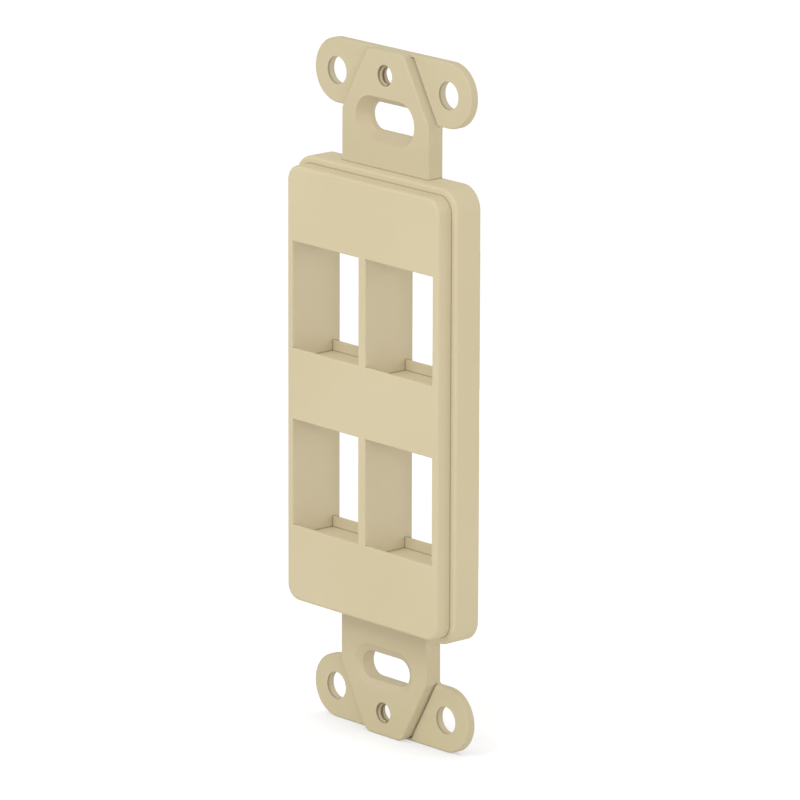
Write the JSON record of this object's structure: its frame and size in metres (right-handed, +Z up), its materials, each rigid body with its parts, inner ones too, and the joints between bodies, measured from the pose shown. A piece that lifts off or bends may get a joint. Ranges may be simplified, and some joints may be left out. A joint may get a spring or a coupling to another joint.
{
  "type": "keystone faceplate insert",
  "caption": "Decorator-style keystone insert: upright moulded plate with jack ports in a raised face, a strap with screw slots and threaded holes, and break-off ears.",
  "frame": {"origin": "centre of the screw and ear-hole patterns, on the flat back of the strap", "axes": "+Z up along the insert as mounted, -Y out of its front, +X to the right seen from the front"},
  "size_m": [0.0356, 0.0093, 0.104],
  "materials": {
    "ivory_plastic": "satin moulded ABS in ivory"
  },
  "bodies": {
    "root": {"keystone_insert": "ivory_plastic"}
  },
  "joints": []
}
